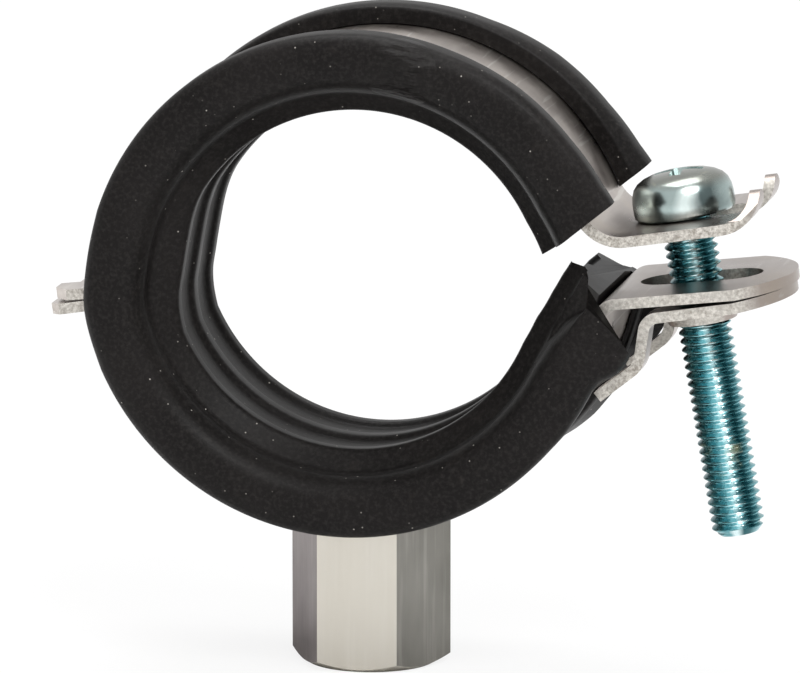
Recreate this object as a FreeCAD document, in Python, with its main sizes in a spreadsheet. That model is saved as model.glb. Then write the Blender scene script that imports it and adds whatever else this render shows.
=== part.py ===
import FreeCAD, Part
import Sketcher
import math
import os
import re

# Hinged two-half pipe clamp with a rubber lining, seen along the pipe (the Y axis).
# The origin is the centre of the connecting nut's open mouth, +Z runs up the nut to the pipe.
# Each half is a folded steel strip bent round an arc of its own, with its flange to the right
# and its hinge end to the left. Strip halves, screw and nut plate each have a frame of their own,
# turned about Y by a named tilt.

OVERCUT = 1.0  # how far a cutting outline runs past the material

SIZES = [
    ("nut_height", 14.5, "connecting nut, from its mouth to the lowest point of the band"),
    ("strip_thickness", 1.0, "steel strip, all folded pieces"),
    ("strip_width", 18.0, "steel strip, along the pipe"),
    ("band_radius", 24.1, "outside of the lower band"),
    ("upper_band_inset", 1.0, "outside of the upper band within the lower band's radius"),
    ("lower_centre_x", -0.3, "lower arc centre from the pipe centre"),
    ("lower_centre_z", 1.57, "lower arc centre from the pipe centre"),
    ("upper_centre_x", 0.3, "upper arc centre from the pipe centre"),
    ("upper_centre_z", -1.63, "upper arc centre from the pipe centre"),
    ("lower_tilt", 6.6, "degrees, lower flange above level"),
    ("upper_tilt", 9.0, "degrees, upper flange above level"),
    ("lower_flange_drop", 4.95, "flange top below the lower arc centre"),
    ("lower_flange_length", 9.8, "screw to the flange tip"),
    ("lower_flange_bulge", 4.45, "flange tip past the corners where its end starts to round"),
    ("lower_bend_radius", 1.2, "inside of the lower flange's bend"),
    ("bend_clearance", 0.2, "rubber inside that bend"),
    ("lower_hole_back", 4.75, "near end of the oblong hole behind the screw"),
    ("lower_hole_length", 11.4, "oblong hole, end to end"),
    ("lower_hole_width", 5.8, "oblong hole, along the pipe"),
    ("upper_flange_rise", 2.85, "flange top above the upper arc centre"),
    ("upper_bend_radius", 3.5, "inside of the upper flange's bend"),
    ("fork_slot_back", 3.05, "closed end of the open slot behind the screw"),
    ("fork_slot_width", 5.6, "open slot, along the pipe"),
    ("prong_offset", 5.05, "screw to where the prongs turn up"),
    ("prong_corner_back", 0.6, "corners of the flange behind the start of the prongs"),
    ("prong_outline_length", 5.0, "rounded outline of the flange past the start of the prongs"),
    ("prong_bend_radius", 2.0, "inside of the turned-up prongs"),
    ("prong_turn", 97.0, "degrees that the prongs turn up"),
    ("prong_height", 2.15, "prong tips above the flange top"),
    ("prong_tip_radius", 1.5, "prong tips, seen along the flange"),
    ("prong_fall", 36.0, "degrees, outer side of each prong"),
    ("ear_top", 0.1, "top of the hinge ears below the lower arc centre"),
    ("ear_length", 4.0, "ear tips outside the band"),
    ("ear_bend_radius", 0.8, "inside of the bends at the hinge"),
    ("ear_slot_width", 9.8, "gap between the two ears"),
    ("ear_slot_depth", 3.4, "how far the ear gap runs down the band"),
    ("ear_chamfer_length", 1.4, "ear corner, outwards"),
    ("ear_chamfer_width", 2.0, "ear corner, along the pipe"),
    ("hook_rise", 3.05, "top of the hook head above the upper arc centre"),
    ("hook_length", 4.5, "hook tip outside the band"),
    ("hook_shoulder", 1.1, "wide part of the hook head outside the band"),
    ("hook_neck_width", 9.0, "neck that passes between the ears"),
    ("hook_neck_height", 5.0, "upper arc centre to the top of the neck"),
    ("hook_chamfer_length", 0.9, "hook corner, outwards"),
    ("hook_chamfer_width", 1.1, "hook corner, along the pipe"),
    ("screw_tilt", 10.0, "degrees, screw head towards the pipe"),
    ("screw_diameter", 4.9, "over the thread crests"),
    ("screw_length", 30.0, "under the head"),
    ("screw_tip_chamfer", 0.6, "at the screw's end"),
    ("head_diameter", 9.4, "pan head"),
    ("head_side_height", 2.3, "pan head, straight side"),
    ("head_height", 4.2, "pan head, in all"),
    ("head_edge_radius", 0.5, "lower rim of the pan head"),
    ("head_over_bend", 0.574, "rim of the head past the foot of the upper flange's bend"),
    ("recess_width", 1.1, "arms of the cross recess"),
    ("recess_span", 5.0, "cross recess, tip to tip"),
    ("recess_depth", 2.0, "cross recess below the crown"),
    ("seat_clearance", 0.1, "under the slightly tilted head"),
    ("plate_tilt", 9.0, "degrees, nut plate above level"),
    ("plate_clearance", 0.05, "nut plate under the flange tip"),
    ("plate_setback", 0.25, "nut plate's tip behind the flange tip"),
    ("plate_leg_offset", 3.9, "screw axis to the corner where the legs go down"),
    ("plate_bend_radius", 0.9, "inside of the bend above the legs"),
    ("leg_lean", 17.0, "degrees, legs off square to the plate"),
    ("leg_drop", 4.4, "corner of the legs to the corner of the feet"),
    ("leg_width", 2.6, "each leg, along the pipe"),
    ("foot_angle", 29.5, "degrees, feet below the plate's plane"),
    ("foot_length", 4.6, "corner of the feet to their tips"),
    ("foot_bend_radius", 1.6, "inside of the bend above the feet"),
    ("collar_height", 1.6, "threaded collar below the plate"),
    ("collar_top_diameter", 7.2, "threaded collar at the plate"),
    ("collar_end_diameter", 6.3, "threaded collar at its free end"),
    ("collar_clearance", 0.25, "round the screw, on the radius"),
    ("nut_across_flats", 13.0, "connecting nut"),
    ("nut_chamfer_face", 12.0, "diameter of the flat ring round the mouth"),
    ("nut_chamfer_angle", 30.0, "degrees, chamfer round the mouth"),
    ("large_thread_diameter", 8.5, "core of the larger thread, at the mouth"),
    ("large_thread_depth", 7.0, "larger thread"),
    ("small_thread_diameter", 6.8, "core of the smaller thread, behind it"),
    ("small_thread_depth", 12.5, "end of the smaller thread from the mouth"),
    ("bead_width", 3.0, "rubber beads beyond the strip's edges, along the pipe"),
    ("lip_thickness", 0.9, "rubber beads outside the band"),
    ("lip_overlap", 1.4, "rubber lips over the strip's edges, along the pipe"),
    ("rib_depth", 6.75, "crests of the ribs inside the band's outer face"),
    ("seat_trim", 1.35, "pipe seat, cut true into the ribs above and below the pipe"),
    ("rib_spacing", 6.6, "between the three ribs"),
    ("rib_half_width", 0.7, "half of each rib's crest"),
    ("rib_height", 0.6, "ribs above the valleys between them"),
    ("groove_depth", 4.7, "groove beside each bead, inside the band's outer face"),
    ("groove_inset", 0.1, "that groove inside the strip's edge, along the pipe"),
    ("bead_ridge_depth", 3.7, "inner edge of the bead's side face, inside the band's outer face"),
    ("lining_clearance", 0.05, "rubber round the steel strip"),
    ("lower_end_depth", 3.5, "inner corner of the lower lining's cut end, from the band"),
    ("lower_end_place", 7.5, "degrees, that corner below the flange direction"),
    ("lower_end_slope", 50.4, "degrees, cut end of the lower lining"),
    ("upper_end_depth", 4.0, "inner corner of the upper lining's cut end, from the band"),
    ("upper_end_place", 8.2, "degrees, that corner above the flange direction"),
    ("upper_end_slope", 30.5, "degrees, cut end of the upper lining"),
    ("lower_lining_hinge_end", 0.1, "lower lining's end at the hinge, below its arc centre"),
    ("upper_lining_hinge_end", 4.75, "upper lining's end at the hinge, above its arc centre"),
    ("flare_start", 54.6, "degrees below the flange direction where the lower beads swell"),
    ("flare_run", 8.4, "straight part of the swelling"),
    ("flare_rise", 3.5, "beads' swollen corner outside the band"),
    ("flare_gap", 0.3, "inner side of the swelling beyond the strip's edge"),
    ("flare_inset", 0.5, "outer side of the swelling inside the lining's outer face"),
    ("hinge_clearance", 0.3, "rubber round the ears and the hook"),
    ("neck_clearance", 1.8, "rubber inside the hook's neck"),
]

PLACES = [
    ("ring_height", "=nut_height + band_radius - lower_centre_z"),
    ("upper_band_radius", "=band_radius - upper_band_inset"),
    ("upper_bend_foot", "=sqrt((upper_band_radius + upper_bend_radius) ^ 2"
                        " - (upper_flange_rise + upper_bend_radius) ^ 2)"),
    ("screw_reach", "=upper_bend_foot + head_diameter / 2 - head_over_bend"),
    ("lower_flange_reach", "=screw_reach + lower_flange_length"),
    ("lower_flange_corner", "=lower_flange_reach - lower_flange_bulge"),
    ("lower_hole_start", "=screw_reach - lower_hole_back"),
    ("fork_slot_start", "=screw_reach - fork_slot_back"),
    ("prong_start", "=screw_reach + prong_offset"),
    ("upper_flange_corner", "=prong_start - prong_corner_back"),
    ("upper_flange_reach", "=prong_start + prong_outline_length"),
    ("ear_reach", "=band_radius + ear_length"),
    ("hook_reach", "=band_radius + hook_length"),
    ("hook_root", "=band_radius + hook_shoulder"),
    ("lining_half_width", "=strip_width / 2 + bead_width"),
    ("bead_lip_start", "=strip_width / 2 - lip_overlap"),
    ("groove_place", "=strip_width / 2 - groove_inset"),
    ("flare_inner", "=strip_width / 2 + flare_gap"),
    ("lining_radius", "=band_radius + lip_thickness"),
    ("rib_radius", "=band_radius - rib_depth"),
    ("seat_radius", "=rib_radius - seat_trim"),
    ("groove_radius", "=band_radius - groove_depth"),
    ("bead_ridge_radius", "=band_radius - bead_ridge_depth"),
    ("lower_end_radius", "=band_radius - lower_end_depth"),
    ("upper_end_radius", "=band_radius - upper_end_depth"),
    ("flare_radius", "=band_radius + flare_rise"),
    ("flange_underside", "=-lower_flange_drop - strip_thickness - plate_clearance"),
    ("plate_tip_reach", "=lower_flange_reach - plate_setback"),
    ("tip_x", "=lower_centre_x + plate_tip_reach * cos(lower_tilt * 1deg)"
              " - flange_underside * sin(lower_tilt * 1deg)"),
    ("tip_z", "=ring_height + lower_centre_z + plate_tip_reach * sin(lower_tilt * 1deg)"
              " + flange_underside * cos(lower_tilt * 1deg)"),
    ("seat_x", "=upper_centre_x + screw_reach * cos(upper_tilt * 1deg)"
               " - (upper_flange_rise + seat_clearance) * sin(upper_tilt * 1deg)"),
    ("seat_z", "=ring_height + upper_centre_z + screw_reach * sin(upper_tilt * 1deg)"
               " + (upper_flange_rise + seat_clearance) * cos(upper_tilt * 1deg)"),
    ("seat_to_plate", "=((tip_x - seat_x) * sin(plate_tilt * 1deg)"
                      " + (seat_z - tip_z) * cos(plate_tilt * 1deg))"
                      " / cos((screw_tilt - plate_tilt) * 1deg)"),
    ("collar_back", "=(tip_x - seat_x) * cos(plate_tilt * 1deg) - (seat_z - tip_z)"
                    " * sin(plate_tilt * 1deg) - seat_to_plate * sin((screw_tilt - plate_tilt) * 1deg)"),
]

doc = FreeCAD.newDocument("pipe_clamp")
sheet = doc.addObject("Spreadsheet::Sheet", "Sizes")
for row, (alias, value, note) in enumerate(SIZES, start=1):
    sheet.set(f"A{row}", note)
    sheet.set(f"B{row}", str(value))
    sheet.setAlias(f"B{row}", alias)
for row, (alias, formula) in enumerate(PLACES, start=len(SIZES) + 1):
    sheet.set(f"B{row}", formula)
    sheet.setAlias(f"B{row}", alias)
doc.recompute()


def size(alias):
    return float(getattr(sheet, alias))


def cells(expression):
    """The expression with the sheet's name put before each of its aliases."""
    return re.sub(r"[a-z]+(?:_[a-z]+)+", lambda found: "Sizes." + found.group(0), expression)


def new_body(label, x="0", z="0", tilt="0"):
    """A body whose frame stands at (x, 0, z), turned so that its X axis rises by tilt degrees."""
    body = doc.addObject("PartDesign::Body", label)
    body.Label = label
    body.Placement = FreeCAD.Placement(FreeCAD.Vector(0, 0, 0),
                                       FreeCAD.Rotation(FreeCAD.Vector(0, -1, 0), 0.001))
    body.setExpression("Placement.Base.x", cells(x))
    body.setExpression("Placement.Base.z", cells(z))
    body.setExpression("Placement.Rotation.Angle", cells(tilt) + " * 1 deg")
    return body


def new_sketch(body, name, role):
    plane = next(item for item in body.Origin.OriginFeatures if item.Role == role)
    sketch = body.newObject("Sketcher::SketchObject", name)
    sketch.AttachmentSupport = [(plane, "")]
    sketch.MapMode = "FlatFace"
    return sketch


def bind(sketch, name, expression, kind, *items):
    """Adds a dimension with a name and ties it to the sheet."""
    value = items[-1]
    index = sketch.addConstraint(Sketcher.Constraint(kind, *items[:-1], value))
    sketch.renameConstraint(index, name)
    sketch.setExpression("Constraints." + name, cells(expression))


def line(start, end):
    return Part.LineSegment(FreeCAD.Vector(start[0], start[1], 0), FreeCAD.Vector(end[0], end[1], 0))


def arc(centre, radius, start_angle, end_angle):
    """Counter-clockwise arc, angles in degrees."""
    circle = Part.Circle(FreeCAD.Vector(centre[0], centre[1], 0), FreeCAD.Vector(0, 0, 1), radius)
    return Part.ArcOfCircle(circle, math.radians(start_angle), math.radians(end_angle))


def close_loop(sketch, first, count):
    """Joins each edge's end to the next edge's start, and the last to the first."""
    for index in range(count):
        following = first + (index + 1) % count
        sketch.addConstraint(Sketcher.Constraint("Coincident", first + index, 2, following, 1))


def polygon(sketch, points):
    """Closed outline of straight edges, returns the index of the first."""
    first = sketch.GeometryCount
    for index, point in enumerate(points):
        sketch.addGeometry(line(point, points[(index + 1) % len(points)]))
    close_loop(sketch, first, len(points))
    return first


def hold_point(sketch, name, geometry, position, x_expression, z_expression, x_value, z_value):
    """Ties a point's two coordinates to the sheet, on whichever side of the origin it lies."""
    for axis, expression, value in (("X", x_expression, x_value), ("Y", z_expression, z_value)):
        if value >= 0:
            ends = (-1, 1, geometry, position)
            text = expression
        else:
            ends = (geometry, position, -1, 1)
            text = "-( " + expression + " )"
        bind(sketch, f"{name}_{axis.lower()}", text, "Distance" + axis, *ends, abs(value))


def strip_profile(sketch, start, heading, runs):
    """Side view of a folded strip. The path follows the side on the right hand of travel.

    A run is ("line", length) or ("arc", radius of that side, turn in degrees, left positive).
    Returns the edge indices of that side and of the far side, in order."""
    thickness = size("strip_thickness")
    near = []
    far = []
    ways = []
    point = start
    for run in runs:
        direction = (math.cos(math.radians(heading)), math.sin(math.radians(heading)))
        left = (-direction[1], direction[0])
        if run[0] == "line":
            end = (point[0] + direction[0] * run[1], point[1] + direction[1] * run[1])
            near.append(sketch.addGeometry(line(point, end)))
            far.append(sketch.addGeometry(line(
                (point[0] + left[0] * thickness, point[1] + left[1] * thickness),
                (end[0] + left[0] * thickness, end[1] + left[1] * thickness))))
            ways.append((1, 2))
        else:
            radius, turn = run[1], run[2]
            side = 1 if turn > 0 else -1
            centre = (point[0] + left[0] * radius * side, point[1] + left[1] * radius * side)
            from_angle = heading - 90 * side
            angles = (from_angle, from_angle + turn) if turn > 0 else (from_angle + turn, from_angle)
            near.append(sketch.addGeometry(arc(centre, radius, *angles)))
            far.append(sketch.addGeometry(arc(centre, radius - side * thickness, *angles)))
            sketch.addConstraint(Sketcher.Constraint("Coincident", near[-1], 3, far[-1], 3))
            ways.append((1, 2) if turn > 0 else (2, 1))
            end_angle = math.radians(from_angle + turn)
            end = (centre[0] + radius * math.cos(end_angle), centre[1] + radius * math.sin(end_angle))
            heading += turn
        point = end
    for index in range(len(runs) - 1):
        for side in (near, far):
            sketch.addConstraint(Sketcher.Constraint(
                "Tangent", side[index], ways[index][1], side[index + 1], ways[index + 1][0]))
    for index, run in enumerate(runs):
        if run[0] == "line":
            sketch.addConstraint(Sketcher.Constraint("Parallel", near[index], far[index]))
    for index, way in ((0, 0), (len(runs) - 1, 1)):
        position = ways[index][way]
        cap = sketch.addGeometry(Part.LineSegment(sketch.getPoint(near[index], position),
                                                  sketch.getPoint(far[index], position)))
        sketch.addConstraint(Sketcher.Constraint("Coincident", cap, 1, near[index], position))
        sketch.addConstraint(Sketcher.Constraint("Coincident", cap, 2, far[index], position))
        if runs[index][0] == "line":
            sketch.addConstraint(Sketcher.Constraint("Perpendicular", cap, near[index]))
        else:
            sketch.addConstraint(Sketcher.Constraint("PointOnObject", near[index], 3, cap))
    return near, far


def pad(body, sketch, name, length, midplane=True, reverse=False):
    feature = body.newObject("PartDesign::Pad", name)
    feature.Profile = sketch
    feature.SideType = "Symmetric" if midplane else "One side"
    feature.Reversed = reverse
    feature.setExpression("Length", cells(length))
    doc.recompute()
    return feature


def pocket(body, sketch, name, length=None, midplane=False, reverse=False):
    """Cuts the sketch out of the body and makes sure that something was cut."""
    before = body.Shape.Volume
    feature = body.newObject("PartDesign::Pocket", name)
    feature.Profile = sketch
    feature.SideType = "Symmetric" if midplane or length is None else "One side"
    feature.Reversed = reverse
    if length is None:
        feature.Type = "ThroughAll"
    else:
        feature.setExpression("Length", cells(length))
    doc.recompute()
    if body.Shape.Volume >= before:
        raise RuntimeError(name + " cuts nothing")
    return feature


def revolve(body, sketch, kind, name, axis):
    feature = body.newObject("PartDesign::" + kind, name)
    feature.Profile = sketch
    feature.ReferenceAxis = (sketch, [axis])
    feature.Angle = 360
    doc.recompute()
    return feature


def bend_angle(reach, height):
    """Angle, seen from the arc centre, at which a bend of that centre distance meets the arc."""
    return math.degrees(math.asin(height / reach))


def rounded_end_cut(body, name, corner, reach):
    """Cuts a flange's end to an arc that starts at its two corners, seen from above."""
    sketch = new_sketch(body, name + "_outline", "XY_Plane")
    half = size("strip_width") / 2
    bulge = size(reach) - size(corner)
    radius = (half ** 2 + bulge ** 2) / (2 * bulge)
    centre = size(reach) - radius
    spread = math.degrees(math.asin(half / radius))
    outer = size(reach) + OVERCUT
    wide = half + OVERCUT
    round_edge = sketch.addGeometry(arc((centre, 0), radius, -spread, spread))
    points = [(size(corner), half), (size(corner), wide), (outer, wide),
              (outer, -wide), (size(corner), -wide), (size(corner), -half)]
    edges = [sketch.addGeometry(line(points[i], points[i + 1])) for i in range(5)]
    chain = [(round_edge, 1, 2)] + [(edge, 1, 2) for edge in edges]
    for index, edge in enumerate(chain):
        following = chain[(index + 1) % len(chain)]
        sketch.addConstraint(Sketcher.Constraint("Coincident", edge[0], edge[2],
                                                 following[0], following[1]))
    for edge, kind in zip(edges, ("Vertical", "Horizontal", "Vertical", "Horizontal", "Vertical")):
        sketch.addConstraint(Sketcher.Constraint(kind, edge))
    sketch.addConstraint(Sketcher.Constraint("PointOnObject", round_edge, 3, -1))
    bind(sketch, "corner", corner, "DistanceX", -1, 1, round_edge, 2, size(corner))
    bind(sketch, "half", "strip_width / 2", "DistanceY", -1, 1, round_edge, 2, half)
    bind(sketch, "reach", f"( {reach} - {corner} ) / 2 + ( strip_width / 2 ) ^ 2"
         f" / ( 2 * ( {reach} - {corner} ) )", "Radius", round_edge, radius)
    pocket(body, sketch, name)


def slot_outline(sketch, start, end, width):
    """Oblong hole along X with round ends; start and end are its two tips."""
    half = width / 2
    first = sketch.addGeometry(arc((start + half, 0), half, 90, 270))
    sketch.addGeometry(line((start + half, -half), (end - half, -half)))
    sketch.addGeometry(arc((end - half, 0), half, -90, 90))
    sketch.addGeometry(line((end - half, half), (start + half, half)))
    for index in range(4):
        sketch.addConstraint(Sketcher.Constraint("Tangent", first + index, 2,
                                                 first + (index + 1) % 4, 1))
    sketch.addConstraint(Sketcher.Constraint("Horizontal", first + 1))
    sketch.addConstraint(Sketcher.Constraint("PointOnObject", first, 3, -1))
    return first


def mirrored_pair(sketch, points):
    """One closed outline and its mirror image across the sketch's X axis."""
    polygon(sketch, points)
    polygon(sketch, [(x, -y) for x, y in points])


def corner_cuts(body, name, reach, length, width):
    """Cuts both corners off the end of a strip that points to -X, seen from above."""
    sketch = new_sketch(body, name + "_outline", "XY_Plane")
    tip = -size(reach)
    side = size("strip_width") / 2
    run = size(length)
    fall = size(width)
    mirrored_pair(sketch, [(tip - OVERCUT, side + OVERCUT),
                           (tip - OVERCUT, side - fall - OVERCUT * fall / run), (tip, side - fall),
                           (tip + run, side), (tip + run, side + OVERCUT)])
    pocket(body, sketch, name)


def make_lower_band():
    """Lower strip: flange with an oblong hole, bent round the arc, two hinge ears."""
    body = new_body("lower_band", "lower_centre_x", "ring_height + lower_centre_z", "lower_tilt")
    thickness = size("strip_thickness")
    inside = size("band_radius") - thickness
    bend = size("lower_bend_radius")
    ear_bend = size("ear_bend_radius")
    reach = size("band_radius") + bend
    flange_angle = bend_angle(reach, size("lower_flange_drop") + thickness + bend)
    ear_angle = bend_angle(size("band_radius") + ear_bend, size("ear_top") + thickness + ear_bend)
    bend_x = reach * math.cos(math.radians(flange_angle))
    ear_bend_x = (size("band_radius") + ear_bend) * math.cos(math.radians(ear_angle))
    sketch = new_sketch(body, "lower_band_side", "XZ_Plane")
    near, far = strip_profile(
        sketch, (size("lower_flange_reach"), -size("lower_flange_drop")), 180,
        [("line", size("lower_flange_reach") - bend_x), ("arc", bend + thickness, 90 - flange_angle),
         ("arc", inside, flange_angle + ear_angle - 180), ("arc", ear_bend + thickness, 90 - ear_angle),
         ("line", size("ear_reach") - ear_bend_x)])
    for edge in (near[0], near[4]):
        sketch.addConstraint(Sketcher.Constraint("Horizontal", edge))
    sketch.addConstraint(Sketcher.Constraint("Coincident", near[2], 3, -1, 1))
    bind(sketch, "inside", "band_radius - strip_thickness", "Radius", near[2], inside)
    bind(sketch, "outside", "band_radius", "Radius", far[2], size("band_radius"))
    bind(sketch, "flange_bend", "lower_bend_radius", "Radius", far[1], bend)
    bind(sketch, "ear_bend", "ear_bend_radius", "Radius", far[3], ear_bend)
    hold_point(sketch, "flange_tip", near[0], 1, "lower_flange_reach", "-lower_flange_drop",
               size("lower_flange_reach"), -size("lower_flange_drop"))
    hold_point(sketch, "ear_tip", near[4], 2, "-ear_reach", "-ear_top",
               -size("ear_reach"), -size("ear_top"))
    pad(body, sketch, "lower_band_strip", "strip_width")

    rounded_end_cut(body, "lower_flange_end", "lower_flange_corner", "lower_flange_reach")

    hole = new_sketch(body, "lower_hole_outline", "XY_Plane")
    start = size("lower_hole_start")
    end = start + size("lower_hole_length")
    first = slot_outline(hole, start, end, size("lower_hole_width"))
    bind(hole, "round", "lower_hole_width / 2", "Radius", first, size("lower_hole_width") / 2)
    bind(hole, "near_end", "lower_hole_start + lower_hole_width / 2", "DistanceX", -1, 1, first, 3,
         start + size("lower_hole_width") / 2)
    bind(hole, "far_end", "lower_hole_start + lower_hole_length - lower_hole_width / 2",
         "DistanceX", -1, 1, first + 2, 3, end - size("lower_hole_width") / 2)
    pocket(body, hole, "lower_hole")

    gap = new_sketch(body, "ear_gap_outline", "XY_Plane")
    half = size("ear_slot_width") / 2
    outer = -size("ear_reach") - OVERCUT
    inner = -size("band_radius") + thickness + 1.5 * OVERCUT
    first = polygon(gap, [(outer, -half), (inner, -half), (inner, half), (outer, half)])
    bind(gap, "low_side", "ear_slot_width / 2", "DistanceY", first, 1, -1, 1, half)
    bind(gap, "high_side", "ear_slot_width / 2", "DistanceY", -1, 1, first + 2, 1, half)
    pocket(body, gap, "ear_gap", "ear_slot_depth")
    corner_cuts(body, "ear_corners", "ear_reach", "ear_chamfer_length", "ear_chamfer_width")
    return body


def prong_end_cut(body):
    """Shapes the two turned-up prongs, seen along the flange: round tips and falling outer sides."""
    sketch = new_sketch(body, "prong_tip_outline", "YZ_Plane")
    sketch.setExpression("AttachmentOffset.Base.z", cells("prong_start"))
    slot = size("fork_slot_width") / 2
    tip = size("prong_tip_radius")
    rise = size("upper_flange_rise")
    fall = math.radians(size("prong_fall"))
    centre = (slot + tip, rise + size("prong_height") - tip)
    edge = (centre[0] + tip * math.sin(fall), centre[1] + tip * math.cos(fall))
    foot = edge[0] + (edge[1] - rise) / math.tan(fall)
    side = size("strip_width") / 2 + OVERCUT
    top = rise + size("prong_bend_radius") * 2 + size("strip_thickness") + OVERCUT
    right = sketch.addGeometry(arc(centre, tip, 90 - size("prong_fall"), 180))
    sketch.addGeometry(line((slot, centre[1]), (-slot, centre[1])))
    left = sketch.addGeometry(arc((-centre[0], centre[1]), tip, 0, 90 + size("prong_fall")))
    points = [(-edge[0], edge[1]), (-foot, rise), (-side, rise), (-side, top),
              (side, top), (side, rise), (foot, rise), edge]
    for start, end in zip(points, points[1:]):
        sketch.addGeometry(line(start, end))
    close_loop(sketch, 0, 10)
    for name, round_tip in (("right", right), ("left", left)):
        bind(sketch, name + "_tip", "prong_tip_radius", "Radius", round_tip, tip)
    hold_point(sketch, "tip_centre", right, 3, "fork_slot_width / 2 + prong_tip_radius",
               "upper_flange_rise + prong_height - prong_tip_radius", *centre)
    pocket(body, sketch, "prong_tips", "prong_bend_radius + strip_thickness + 1", reverse=True)


def make_upper_band():
    """Upper strip: forked flange with turned-up prongs, bent round the arc, hook head at the hinge."""
    body = new_body("upper_band", "upper_centre_x", "ring_height + upper_centre_z", "upper_tilt")
    thickness = size("strip_thickness")
    outside = size("upper_band_radius")
    bend = size("upper_bend_radius")
    hook_bend = size("ear_bend_radius")
    prong_bend = size("prong_bend_radius")
    turn = size("prong_turn")
    rise = size("upper_flange_rise")
    flange_angle = bend_angle(outside + bend, rise + bend)
    hook_angle = bend_angle(outside + hook_bend, size("hook_rise") + hook_bend)
    hook_bend_x = (outside + hook_bend) * math.cos(math.radians(hook_angle))
    prong_tip = (size("prong_start") + prong_bend * math.sin(math.radians(turn)),
                 rise + prong_bend * (1 - math.cos(math.radians(turn))))
    sketch = new_sketch(body, "upper_band_side", "XZ_Plane")
    near, far = strip_profile(
        sketch, prong_tip, 180 + turn,
        [("arc", prong_bend, -turn), ("line", size("prong_start") - size("upper_bend_foot")),
         ("arc", bend, flange_angle - 90), ("arc", outside, 180 - flange_angle - hook_angle),
         ("arc", hook_bend, hook_angle - 90), ("line", size("hook_reach") - hook_bend_x)])
    for edge in (near[1], near[5]):
        sketch.addConstraint(Sketcher.Constraint("Horizontal", edge))
    sketch.addConstraint(Sketcher.Constraint("Coincident", near[3], 3, -1, 1))
    bind(sketch, "outside", "upper_band_radius", "Radius", near[3], outside)
    bind(sketch, "inside", "upper_band_radius - strip_thickness", "Radius", far[3],
         outside - thickness)
    bind(sketch, "prong_bend", "prong_bend_radius", "Radius", near[0], prong_bend)
    bind(sketch, "flange_bend", "upper_bend_radius", "Radius", near[2], bend)
    bind(sketch, "hook_bend", "ear_bend_radius", "Radius", near[4], hook_bend)
    hold_point(sketch, "prong_root", near[1], 1, "prong_start", "upper_flange_rise",
               size("prong_start"), rise)
    bind(sketch, "prong_tip", "upper_flange_rise + prong_bend_radius * (1 - cos(prong_turn * 1deg))",
         "DistanceY", -1, 1, near[0], 2, prong_tip[1])
    hold_point(sketch, "hook_tip", near[5], 2, "-hook_reach", "hook_rise",
               -size("hook_reach"), size("hook_rise"))
    pad(body, sketch, "upper_band_strip", "strip_width")

    rounded_end_cut(body, "upper_flange_end", "upper_flange_corner", "upper_flange_reach")

    fork = new_sketch(body, "fork_slot_outline", "XY_Plane")
    half = size("fork_slot_width") / 2
    start = size("fork_slot_start") + half
    outer = size("upper_flange_reach") + OVERCUT
    first = fork.addGeometry(arc((start, 0), half, 90, 270))
    points = [(start, -half), (outer, -half), (outer, half), (start, half)]
    for index in range(3):
        fork.addGeometry(line(points[index], points[index + 1]))
    close_loop(fork, first, 4)
    bind(fork, "round", "fork_slot_width / 2", "Radius", first, half)
    bind(fork, "closed_end", "fork_slot_start + fork_slot_width / 2", "DistanceX", -1, 1, first, 3,
         start)
    pocket(body, fork, "fork_slot")
    prong_end_cut(body)

    neck = new_sketch(body, "hook_neck_outline", "XY_Plane")
    root = -size("hook_root")
    inner = -outside + thickness + 1.5 * OVERCUT
    narrow = size("hook_neck_width") / 2
    wide = size("strip_width") / 2 + OVERCUT
    mirrored_pair(neck, [(root, narrow), (inner, narrow), (inner, wide), (root, wide)])
    pocket(body, neck, "hook_neck", "hook_neck_height", reverse=True)
    corner_cuts(body, "hook_corners", "hook_reach", "hook_chamfer_length", "hook_chamfer_width")
    return body


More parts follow.
